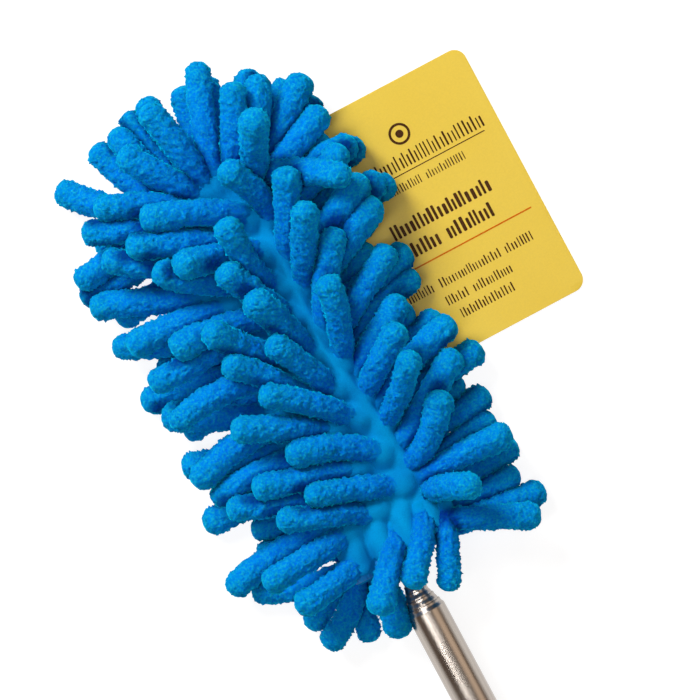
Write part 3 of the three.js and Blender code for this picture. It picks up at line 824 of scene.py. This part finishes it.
def make_sleeve(plan, material):
    """The cover's cloth pocket. A simulation blows it up slightly between the places where noodles
    are sewn through it, and then it is drawn up round their roots and gathered at the mouth."""
    around, along = 60, 76
    vertices = []
    for i in range(along):
        y = MOUTH_Y + (END_Y - MOUTH_Y) * i / (along - 1)
        close = 1 - 0.2 * max(0, 1 - (END_Y - y) / (9 * MM)) ** 2
        vertices.extend(oval_ring(SLEEVE_HALF * close, SLEEVE_TOP * close, y, around))
    faces = tube_faces(along, around)
    end = len(vertices)
    last = end - around
    vertices.append((0, END_Y + 0.8 * MM, 0))
    faces.extend((last + k, last + (k + 1) % around, end) for k in range(around))
    sleeve = skin_piece("cover_cloth_sleeve", vertices, faces, material)
    sewn_rows = [entry for entry in plan if entry[0] != "noodles_base"]
    roots = np.array([entry[1] + entry[2] * ROOT_DEPTH for entry in sewn_rows])
    starts = np.array([entry[2] for entry in sewn_rows])
    points = np.array(vertices)
    spread = np.sqrt(((points[:, None, :] - roots[None, :, :]) ** 2).sum(-1)).min(1)
    sewn = sleeve.vertex_groups.new(name="sewn")
    for k, distance in enumerate(spread):
        hold = max(0.0, 1 - distance / SEAM_REACH) * SEAM_HOLD
        if points[k][1] < MOUTH_Y + 2 * MM:
            hold = 1.0
        if hold > 0:
            sewn.add([k], min(1.0, hold), "REPLACE")
    blow_up(sleeve, "sewn")
    cap_moves(sleeve, points, MOST_BLOWN)
    finer = sleeve.modifiers.new("finer", "SUBSURF")
    finer.levels = finer.render_levels = 1
    bake_modifiers(sleeve)
    draw_up(sleeve, roots, starts)
    skin = sleeve.modifiers.new("skin", "SOLIDIFY")
    skin.thickness = CLOTH_THICKNESS
    skin.offset = -1
    bake_modifiers(sleeve)
    shade_smooth(sleeve.data)
    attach(sleeve, "cover")
    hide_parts("cover_sleeve")


SKIRT_LENGTH = 5.2 * MM  # how far the cloth is drawn along a noodle from its root
LOW_SKIRT_LENGTH = 1.2 * MM  # the same for the rows on the sides and underneath
SKIRT_START, SKIRT_END = 1.08, 0.74  # the skirt's radius at both ends, as shares of the noodle's
SKIRT_BLEND = 4.5 * MM  # how softly it runs out into the cloth
SKIRT_MOST = 8 * MM
SKIRT_STEP = 0.25 * MM
RIDGE, RIDGE_WIDTH = 4.0 * MM, 3.0 * MM  # the cloth's rise along the parting
CREST, CREST_WIDTH = 0.9 * MM, 0.9 * MM  # and the sharper fold on top of it
GATHER = 6.0 * MM  # how far the cloth puffs out next to its mouth
GATHER_PITCH = 10.6 * MM
GATHER_LENGTH = 28 * MM
GATHER_HANG = 6.5 * MM  # how far the puffs sag over the mouth
PUFF_AT = (0, 0.2, 0.34, 0.5, 0.75, 1)  # shares of the gathers' length from the mouth
PUFF = (0.1, 0.3, 0.95, 1.0, 0.45, 0)  # and how far the cloth puffs out there
CREASES = 14  # waves of random direction that add up to the cloth's small creases
CREASE_PITCH = (5, 14)  # mm
CREASE_DEPTH = 0.07 * MM


def skirt_rise(points, outward, roots, starts):
    """How far each point of the cloth moves out so that it covers the first part of the noodles near
    it. Cloth and noodle are joined as a smooth union of distance fields."""
    nearest = np.argsort(((points[:, None, :] - roots[None, :, :]) ** 2).sum(-1), axis=1)[:, :5]
    base, axis = roots[nearest], starts[nearest]
    length = np.where(base[..., 2] > 2 * MM, SKIRT_LENGTH, LOW_SKIRT_LENGTH)
    rise = np.zeros(len(points))
    for _ in range(int(SKIRT_MOST / SKIRT_STEP)):
        offset = (points + outward * rise[:, None])[:, None, :] - base
        run = np.clip((offset * axis).sum(-1) / length, -0.3, 1)
        radius = NOODLE_RADIUS * (SKIRT_START + (SKIRT_END - SKIRT_START) * np.maximum(run, 0))
        away = np.linalg.norm(offset - axis * (run * length)[..., None], axis=-1) - radius
        away = away.min(1)
        blend = np.maximum(SKIRT_BLEND - np.abs(away - rise), 0) / SKIRT_BLEND
        joined = np.minimum(away, rise) - blend ** 2 * SKIRT_BLEND / 4
        rise = np.where(joined < 0, rise + SKIRT_STEP, rise)
    return rise


def draw_up(sleeve, roots, starts):
    """Moves the cloth out round the noodles' roots, into a fold along the parting and into gathers
    next to the mouth, with small creases everywhere."""
    mesh = sleeve.data
    count = len(mesh.vertices)
    points = np.empty(count * 3)
    mesh.vertices.foreach_get("co", points)
    points = points.reshape(-1, 3)
    middle = np.clip(points[:, 0], -SLEEVE_FLAT, SLEEVE_FLAT)
    outward = np.column_stack([points[:, 0] - middle, np.zeros(count), points[:, 2]])
    outward /= np.linalg.norm(outward, axis=1)[:, None] + 1e-9
    y = points[:, 1]
    still = np.clip((y - MOUTH_Y - 6 * MM) / (8 * MM), 0, 1)
    rise = skirt_rise(points, outward, roots, starts) * still

    across = points[:, 0] - np.interp(y / MM, *zip(*PARTING)) * MM
    length = np.clip((y - MOUTH_Y) / (20 * MM), 0, 1) * np.clip((END_Y - 12 * MM - y) / (20 * MM), 0, 1)
    length *= points[:, 2] > 0
    ridge = np.exp(-(across / RIDGE_WIDTH) ** 2) * RIDGE * length
    crest = np.exp(-(across / CREST_WIDTH) ** 2) * CREST * length

    from_mouth = (y - MOUTH_Y) / GATHER_LENGTH
    puff = np.interp(from_mouth, PUFF_AT, PUFF)
    run = points[:, 0] + 3.1 * MM * np.sin(y / (7 * MM))
    lobe = np.abs(np.cos(np.pi * run / GATHER_PITCH)) ** 0.6
    fold = 1 - 0.85 * (1 - lobe) * np.clip(1.5 - from_mouth, 0, 1)
    move = outward * (np.maximum(np.maximum(rise, ridge), puff * fold * GATHER) + crest)[:, None]
    hang = np.interp(from_mouth, (0.1, 0.34, 0.6), (0, 1, 0))
    move[:, 1] -= hang * lobe * GATHER_HANG

    waves = np.zeros(count)
    random = np.random.default_rng(SEED + 3)
    for _ in range(CREASES):
        direction = random.normal(0, 1, 3)
        direction /= np.linalg.norm(direction)
        pitch = random.uniform(*CREASE_PITCH) * MM
        phase = random.uniform(0, 6.28)
        waves += np.sin(points @ direction * 2 * np.pi / pitch + phase)
    move += outward * (waves * CREASE_DEPTH)[:, None]
    points = points + move
    points[:, 2] = np.maximum(points[:, 2], TABLE_Z + 0.3 * MM)
    mesh.vertices.foreach_set("co", points.reshape(-1))
    mesh.update()


def blow_up(piece, group):
    """Blows the cloth up from inside where the vertex group doesn't pin it."""
    cloth = piece.modifiers.new("cloth", "CLOTH")
    settings = cloth.settings
    settings.quality = 8
    settings.mass = 0.15
    settings.tension_stiffness = 12
    settings.compression_stiffness = 12
    settings.shear_stiffness = 6
    settings.bending_stiffness = 0.4
    settings.use_pressure = True
    settings.uniform_pressure_force = BLOW_PRESSURE
    settings.vertex_group_mass = group
    settings.effector_weights.gravity = 0
    cloth.collision_settings.use_collision = False
    cloth.point_cache.frame_start = 1
    cloth.point_cache.frame_end = BLOW_FRAMES
    for number in range(1, BLOW_FRAMES + 1):
        bpy.context.scene.frame_set(number)
    bake_modifiers(piece)
    bpy.context.scene.frame_set(1)


def cap_moves(piece, before, most):
    """Holds each point within that distance of where it was before."""
    for vertex, old in zip(piece.data.vertices, before):
        step = vertex.co - Vector(old)
        if step.length > most:
            vertex.co = Vector(old) + step * (most / step.length)


HEM_GATHERS = 44
HEM_HALF_THICKNESS = 0.55 * MM


def make_hem(material):
    """A gathered band of elastic round the sleeve's mouth."""
    low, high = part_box("hem_elastic")
    around, across = 240, 10
    middle, half_length = (low.y + high.y) / 2, (high.y - low.y) / 2
    oval = oval_ring(high.x - 0.5 * MM, high.z - 0.5 * MM, 0, around)
    vertices = []
    for j in range(across):
        turn = 2 * math.pi * j / across
        for k, (x, _, z) in enumerate(oval):
            gather = 1 + 0.22 * math.sin(k / around * 2 * math.pi * HEM_GATHERS)
            out = Vector((x - max(min(x, SLEEVE_FLAT), -SLEEVE_FLAT), 0, z)).normalized()
            rise = math.cos(turn) * HEM_HALF_THICKNESS * gather
            run = math.sin(turn) * half_length
            vertices.append((x + out.x * rise, middle + run, z + out.z * rise))
    faces = tube_faces(across, around, closed=True)
    hem = skin_piece("hem_elastic_band", vertices, faces, material)
    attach(hem, "cover")
    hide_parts("hem_elastic")


# ---- the pole ----------------------------------------------------------------------------------
SECTION_WALL = 0.42  # mm
LIP_LENGTH = 2.3  # mm of a tube's mouth that is rolled in


def lipped_profile(radius, next_radius, bottom, top):
    """A tube whose mouth is rolled in to a bead just clear of the next tube."""
    lip_in = next_radius + 0.15
    lip_out = lip_in + SECTION_WALL
    shoulder = top - LIP_LENGTH
    profile = [(radius - SECTION_WALL, bottom), (radius - 0.08, bottom), (radius, bottom + 0.12)]
    profile.append((radius, shoulder - 0.4))
    for k in range(9):
        t = k / 8
        blend = t * t * (3 - 2 * t)
        profile.append((radius + (lip_out - radius) * blend, shoulder - 0.4 + (LIP_LENGTH - 0.5) * t))
    middle = (lip_in + lip_out) / 2
    bead = (lip_out - lip_in) / 2
    profile.extend((middle + bead * math.cos(a), top - bead + bead * math.sin(a))
                   for a in np.radians(np.linspace(0, 180, 9)))
    profile.append((lip_in, shoulder + 1.5))
    profile.append((radius - SECTION_WALL, shoulder))
    return profile


def make_pole(steel):
    """The five tubes, each with its mouth rolled in except the last."""
    bodies = ("handle", "section_2", "section_3", "section_4", "head")
    for k, body in enumerate(bodies):
        node = "outer_tube" if k == 0 else f"section_{k + 1}"
        low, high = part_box(node)
        bottom, top = low.y / MM, high.y / MM
        radius = SECTION_RADIUS[k]
        if k < 4:
            profile = lipped_profile(radius, SECTION_RADIUS[k + 1], bottom, top)
        else:
            inner = radius - SECTION_WALL
            profile = [(inner, bottom), (radius, bottom), (radius, top), (inner, top)]
        tube = turned(node + "_drawn", profile, steel, around=128)
        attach(tube, body)
        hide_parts(node)


# ---- the handle --------------------------------------------------------------------------------
GRIP_RADII = (11.15, 13.95)  # mm, inside and outside, which just clears the table
GRIP_RIBS = 8
RIB_DEPTH = 0.9  # mm, how deep the grooves between the grip's ribs are
GRIP_SEAT = 11  # mm, the moulding's radius under the grip
BORE_END = 91.7  # mm, the y where the hole for the tube ends
# The moulding's domed butt as (radius, y) in mm.
HANDLE_BUTT = ((0, 13.8), (5, 14.2), (8.2, 15.8), (10.4, 18.6), (12.0, 21.4), (12.6, 22.6))


def make_handle(plastic, rubber):
    """The ribbed grip, and the moulding under it with a flat tongue that has the hanging hole."""
    start, end = GRIP_LOW.y / MM, GRIP_HIGH.y / MM
    inside, outside = GRIP_RADII
    profile = [(inside, start), (outside - 1.2, start)]
    profile += [(outside - 1.2 + 1.2 * math.sin(a), start + 1.4 - 1.4 * math.cos(a))
                for a in np.radians(np.linspace(15, 90, 6))]
    pitch = (end - start - 14) / GRIP_RIBS
    for k in range(GRIP_RIBS):
        middle = start + 7 + pitch * (k + 0.5)
        for t in np.linspace(-0.24, 0.24, 11):
            dip = RIB_DEPTH * (0.5 + 0.5 * math.cos(t / 0.24 * math.pi))
            profile.append((outside - dip, middle + t * pitch))
    profile += [(outside - 1.2 + 1.2 * math.cos(a), end - 1.4 + 1.4 * math.sin(a))
                for a in np.radians(np.linspace(0, 75, 6))]
    profile += [(outside - 1.2, end), (inside, end)]
    grip = turned("grip_sleeve_ribbed", profile, rubber, around=96)
    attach(grip, "handle")
    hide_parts("grip_sleeve")

    top = HANDLE_TOP / MM
    bore = 7.8
    body = [*HANDLE_BUTT, (12.6, start - 0.5), (12.4, start - 0.25)]
    body += [(GRIP_SEAT, start - 0.25), (GRIP_SEAT, end + 0.25), (12.2, end + 0.25), (12.4, end + 0.5)]
    body += [(12.4, top - 2.6), (12.1, top - 1.6), (11.2, top - 0.5), (10.2, top)]
    body += [(bore + 0.5, top), (bore, top - 0.4), (bore, BORE_END), (0, BORE_END)]
    handle = turned("handle_moulding", body, plastic, around=96)
    half, corner = 11, 5
    outline = [(-half + 1.5, 22), *arc(-half + corner, corner, corner, 180, 270)]
    outline += [*arc(half - corner, corner, corner, 270, 360), (half - 1.5, 22)]
    eye = arc(0, 10, 4.5, 0, 360, 40)[:-1]
    tongue = plate("tongue", [outline, eye], 10, 1.1, plastic)
    join_solids(handle, tongue)
    smooth_by_angle(handle)
    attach(handle, "handle")
    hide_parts("handle_body")


# ---- the head's core ---------------------------------------------------------------------------
def make_core(plastic):
    """The socket that fits on the pole and the slotted flat blade inside the cover."""
    rim_y, rim_top = CORE_LOW.y / MM, CORE_LOW.y / MM + 1.7
    bore, socket = 3.2, 4.4
    profile = [(bore, rim_y + 0.3), (bore + 0.3, rim_y), (6.1, rim_y), (6.4, rim_y + 0.3)]
    profile += [(6.4, rim_top - 0.3), (6.1, rim_top), (socket + 0.3, rim_top), (socket, rim_top + 0.4)]
    profile += [(socket, 298.8), (socket - 0.4, 299.7), (socket - 1.2, 300), (0.001, 300)]
    profile += [(0.001, 290), (bore, 290)]
    core = turned("head_core_moulding", profile, plastic, around=64)
    end = CORE_HIGH.y / MM
    half, corner = CORE_HIGH.x / MM, 12
    outline = [(-3.4, 292), (3.4, 292), (half - 1.5, 306.5), (half, 309)]
    outline += arc(half - corner, end - corner, corner, 0, 90)
    outline += arc(corner - half, end - corner, corner, 90, 180)
    outline += [(-half, 309), (-half + 1.5, 306.5)]
    slots = []
    for k in range(5):
        y = 318 + 20 * k
        slots.append(arc(8, y, 4, -90, 90, 12) + arc(-8, y, 4, 90, 270, 12))
    blade = plate("blade", [outline, *slots], 5, 0.7, plastic)
    join_solids(core, blade)
    smooth_by_angle(core)
    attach(core, "head")
    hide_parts("head_core")


# ---- the tag -----------------------------------------------------------------------------------
TAG_CORNER = 5  # mm
TAG_HOLE = (48.5, 422.5)  # mm, the centre of the hole in the pinned corner
TAG_DROOP = 0.9  # mm from the pinned corner down to where the card lies on the table


def droop(x, y):
    """How far the card has sunk, in metres, at a place given in mm from its pinned corner."""
    far = math.hypot(x - TAG_HOLE[0], y - TAG_HOLE[1])
    t = min(max((far - 8) / 60, 0), 1)
    return -TAG_DROOP * MM * t * t * (3 - 2 * t)


def lay_on_tag(piece):
    """Bends a flat piece as the card bends."""
    for vertex in piece.data.vertices:
        vertex.co.z += droop(vertex.co.x / MM, vertex.co.y / MM)


def rounded_box(cx, cy, width, height, corner, steps=5):
    """The outline of a rectangle with round corners."""
    w, h = width / 2 - corner, height / 2 - corner
    outline = []
    for right, up, start in ((w, -h, -90), (w, h, 0), (-w, h, 90), (-w, -h, 180)):
        outline += arc(cx + right, cy + up, corner, start, start + 90, steps)
    return outline


# Lines of plain upright strokes in place of words: middle y, height, the words' widths, the gap between
# words, a stroke's width and the gap between strokes, all in mm.
PRINT_LINES = (
    (400.8, 6.0, (62,), 0, 0.62, 1.05),
    (391.6, 3.4, (18, 17), 2.6, 0.42, 0.72),
    (377.2, 6.0, (42,), 0, 1.15, 0.85),
    (368.0, 6.0, (15, 21), 2.8, 1.15, 0.85),
    (351.6, 3.8, (11, 26, 12), 2.8, 0.5, 0.78),
    (344.2, 3.8, (9, 17), 2.8, 0.5, 0.78),
    (337.4, 3.8, (23,), 0, 0.5, 0.78),
)
PRINT_X = 78  # mm, the middle of everything printed
EMBLEM_Y = 410.6  # mm, a plain dot in a ring


def flat_marks(name, outlines, material):
    """Printed marks as one thin mesh lying on the card, from convex outlines in mm."""
    low, high = TAG_HIGH.z, TAG_HIGH.z + 0.05 * MM
    vertices, faces = [], []
    for outline in outlines:
        first, count = len(vertices), len(outline)
        vertices.extend((x * MM, y * MM, low) for x, y in outline)
        vertices.extend((x * MM, y * MM, high) for x, y in outline)
        faces.append(tuple(first + k for k in reversed(range(count))))
        faces.append(tuple(first + count + k for k in range(count)))
        for k in range(count):
            nxt = (k + 1) % count
            faces.append((first + k, first + nxt, first + count + nxt, first + count + k))
    mark = link(name, mesh_of(name, vertices, faces, smooth=False), material)
    split_long_faces(mark)
    lay_on_tag(mark)
    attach(mark, "tag")


def stroke_lines():
    """Outlines of the strokes that stand in for the printed words."""
    random = np.random.default_rng(SEED + 4)
    outlines = []
    for y, tall, widths, space, stroke, gap in PRINT_LINES:
        x = PRINT_X - (sum(widths) + space * (len(widths) - 1)) / 2
        for word in widths:
            end = x + word
            while x < end - stroke * 0.5:
                wide = stroke * random.uniform(0.85, 1.3)
                high = tall * (0.74 if random.random() < 0.45 else 1)
                base = y - tall / 2
                outlines.append(rounded_box(x + wide / 2, base + high / 2, wide, high, wide * 0.3, 2))
                x += wide + gap * random.uniform(0.8, 1.25)
            x = end + space
    return outlines


def make_tag(card, ink, orange, nylon):
    cx, cy = (TAG_LOW.x + TAG_HIGH.x) / 2 / MM, (TAG_LOW.y + TAG_HIGH.y) / 2 / MM
    width, height = (TAG_HIGH.x - TAG_LOW.x) / MM, (TAG_HIGH.y - TAG_LOW.y) / MM
    edge = rounded_box(cx, cy, width, height, TAG_CORNER, 12)
    hole = arc(*TAG_HOLE, 1.6, 0, 360, 32)[:-1]
    piece = plate("tag_card_sheet", [edge, hole], 0.4, 0.06, card, (TAG_LOW.z + TAG_HIGH.z) / 2 / MM)
    split_long_faces(piece)
    lay_on_tag(piece)
    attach(piece, "tag")
    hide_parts("tag_card")

    marks = stroke_lines()
    marks.append(rounded_box(PRINT_X, 396.2, 60, 0.4, 0.18))
    marks.append(arc(PRINT_X, EMBLEM_Y, 1.6, 0, 360, 24)[:-1])
    inner, outer = (arc(PRINT_X, EMBLEM_Y, radius, 0, 360, 32) for radius in (3.3, 4.3))
    for k in range(32):
        marks.append([inner[k], outer[k], outer[k + 1], inner[k + 1]])
    flat_marks("tag_print_brown", marks, ink)
    flat_marks("tag_print_rule", [rounded_box(PRINT_X, 361.2, 64, 0.6, 0.28)], orange)
    make_pin(nylon)


def split_long_faces(piece):
    """Cuts a flat plate on a grid so that it can follow the card's bend."""
    step = 6 * MM
    with editing(piece.data) as work:
        spans = [[v.co[axis] for v in work.verts] for axis in (0, 1)]
        for values, normal in zip(spans, (Vector((1, 0, 0)), Vector((0, 1, 0)))):
            place = math.ceil(min(values) / step) * step
            while place < max(values):
                everything = work.verts[:] + work.edges[:] + work.faces[:]
                bmesh.ops.bisect_plane(work, geom=everything, plane_co=normal * place, plane_no=normal)
                place += step


# The tag's nylon pin in mm, from the cover's edge over the table and up through the card's hole.
PIN_ROUTE = (
    (20.6, 414, -2.5), (25, 415, -8), (30, 417, -12), (35, 418.6, -13.45), (42, 420.6, -13.45),
    (47, 422, -13.45), (*TAG_HOLE, -12.65), (*TAG_HOLE, -11.7),
)
PIN_RADIUS = 0.4  # mm
PIN_BARS = (PIN_ROUTE[0], (*TAG_HOLE, -11.9))


def make_pin(nylon):
    line = smooth_line(np.array(PIN_ROUTE) * MM, 70)
    _, side, lift = frames_along(line)
    around = 14
    vertices = []
    for centre, a, b in zip(line, side, lift):
        for k in range(around):
            angle = 2 * math.pi * k / around
            vertices.append(centre + (a * math.cos(angle) + b * math.sin(angle)) * PIN_RADIUS * MM)
    faces = tube_faces(len(line), around)
    faces.append(tuple(range(around)))
    faces.append(tuple(range(len(vertices) - around, len(vertices))))
    pin = skin_piece("tag_pin_thread", vertices, faces, nylon)
    for x, y, z in PIN_BARS:
        bar = plate("bar", [rounded_box(x, y, 1.2, 8, 0.59)], 1.0, 0.4, nylon, z)
        join_solids(pin, bar)
    smooth_by_angle(pin, 40)
    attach(pin, "cover")
    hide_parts("tag_pin")


# ---- floor and light ---------------------------------------------------------------------------
# The sky's brightness from the horizon up: a pale band that the side views see, a dim brown room that
# the steel mirrors, and a lighter ceiling.
SKY = (
    (0.0, (0.80, 0.79, 0.78)), (0.10, (0.70, 0.69, 0.67)), (0.24, (0.15, 0.10, 0.068)),
    (0.80, (0.085, 0.058, 0.042)), (0.93, (0.22, 0.18, 0.15)), (1.0, (0.33, 0.31, 0.29)),
)


def add_stage():
    size = 6.0
    corners = ((-size, -size), (size, -size), (size, size), (-size, size))
    mesh = mesh_of("floor", [(x, y, TABLE_Z) for x, y in corners], [(0, 1, 2, 3)], smooth=False)
    pale = Shader("floor_paint", Roughness=0.9, Specular_IOR_Level=0.1, Emission_Strength=0.86,
                  Emission_Color=(1, 1, 1, 1))
    grain = pale.noise(40, 2, 0.5)
    pale.colour(pale.ramp(grain, (0.3, (0.22, 0.22, 0.22)), (0.7, (0.24, 0.24, 0.24))))
    link("floor", mesh, pale.material)
    world = bpy.data.worlds.new("studio")
    world.use_nodes = True
    bpy.context.scene.world = world
    nodes, links = world.node_tree.nodes, world.node_tree.links
    split = nodes.new("ShaderNodeSeparateXYZ")
    links.new(nodes.new("ShaderNodeTexCoord").outputs["Generated"], split.inputs[0])
    ramp = nodes.new("ShaderNodeValToRGB")
    set_stops(ramp, SKY)
    links.new(split.outputs["Z"], ramp.inputs["Fac"])
    links.new(ramp.outputs["Color"], nodes["Background"].inputs["Color"])
    nodes["Background"].inputs["Strength"].default_value = 1.0


def add_light(name, place, size, power, colour=(1, 1, 1)):
    data = bpy.data.lights.new(name, "AREA")
    data.shape = "RECTANGLE"
    data.size, data.size_y = size
    data.energy = power
    data.color = colour
    lamp = put_in_scene(name, data)
    lamp.location = place
    aim = HEAD_CENTRE - Vector(place)
    lamp.rotation_euler = aim.to_track_quat("-Z", "Y").to_euler()


def add_lights():
    add_light("key", (-0.36, 1.60, 1.15), (0.7, 0.7), 33)
    add_light("overhead", (-0.25, 0.28, 1.4), (0.09, 1.2), 6.5)
    add_light("fill", (1.15, 0.1, 1.1), (0.9, 0.9), 2.4, (1.0, 0.80, 0.62))


# ---- everything --------------------------------------------------------------------------------
add_camera()

chenille = chenille_material()
cloth = cloth_material()
steel = steel_material()
black = moulded_material("black_plastic", (0.018, 0.018, 0.02), (0.028, 0.028, 0.03), 0.45)
rubber = moulded_material("black_rubber", (0.022, 0.022, 0.023), (0.034, 0.034, 0.035), 0.75,
                          grain=1800, depth=0.00012)
white = moulded_material("white_plastic", (0.70, 0.70, 0.68), (0.78, 0.78, 0.76), 0.35)
grey = moulded_material("grey_nylon", (0.36, 0.37, 0.38), (0.45, 0.46, 0.47), 0.5)

plan = make_noodles(chenille)
make_sleeve(plan, cloth)
make_hem(elastic_material())
make_pole(steel)
make_handle(black, rubber)
make_core(white)
brown_ink = ink_material("brown_ink", (0.075, 0.024, 0.003), (0.045, 0.014, 0.002))
orange_ink = ink_material("orange_ink", (0.62, 0.16, 0.0), (0.50, 0.11, 0.0))
make_tag(card_material(), brown_ink, orange_ink, nylon_material())
finishes = {"tube_plug": black, "socket_pin": steel}
finishes.update({f"friction_bush_{k}": grey for k in (2, 3, 4, 5)})
for node, material in finishes.items():
    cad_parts[node].data.materials.clear()
    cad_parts[node].data.materials.append(material)

add_stage()
add_lights()
bpy.context.scene.view_settings.view_transform = "Standard"
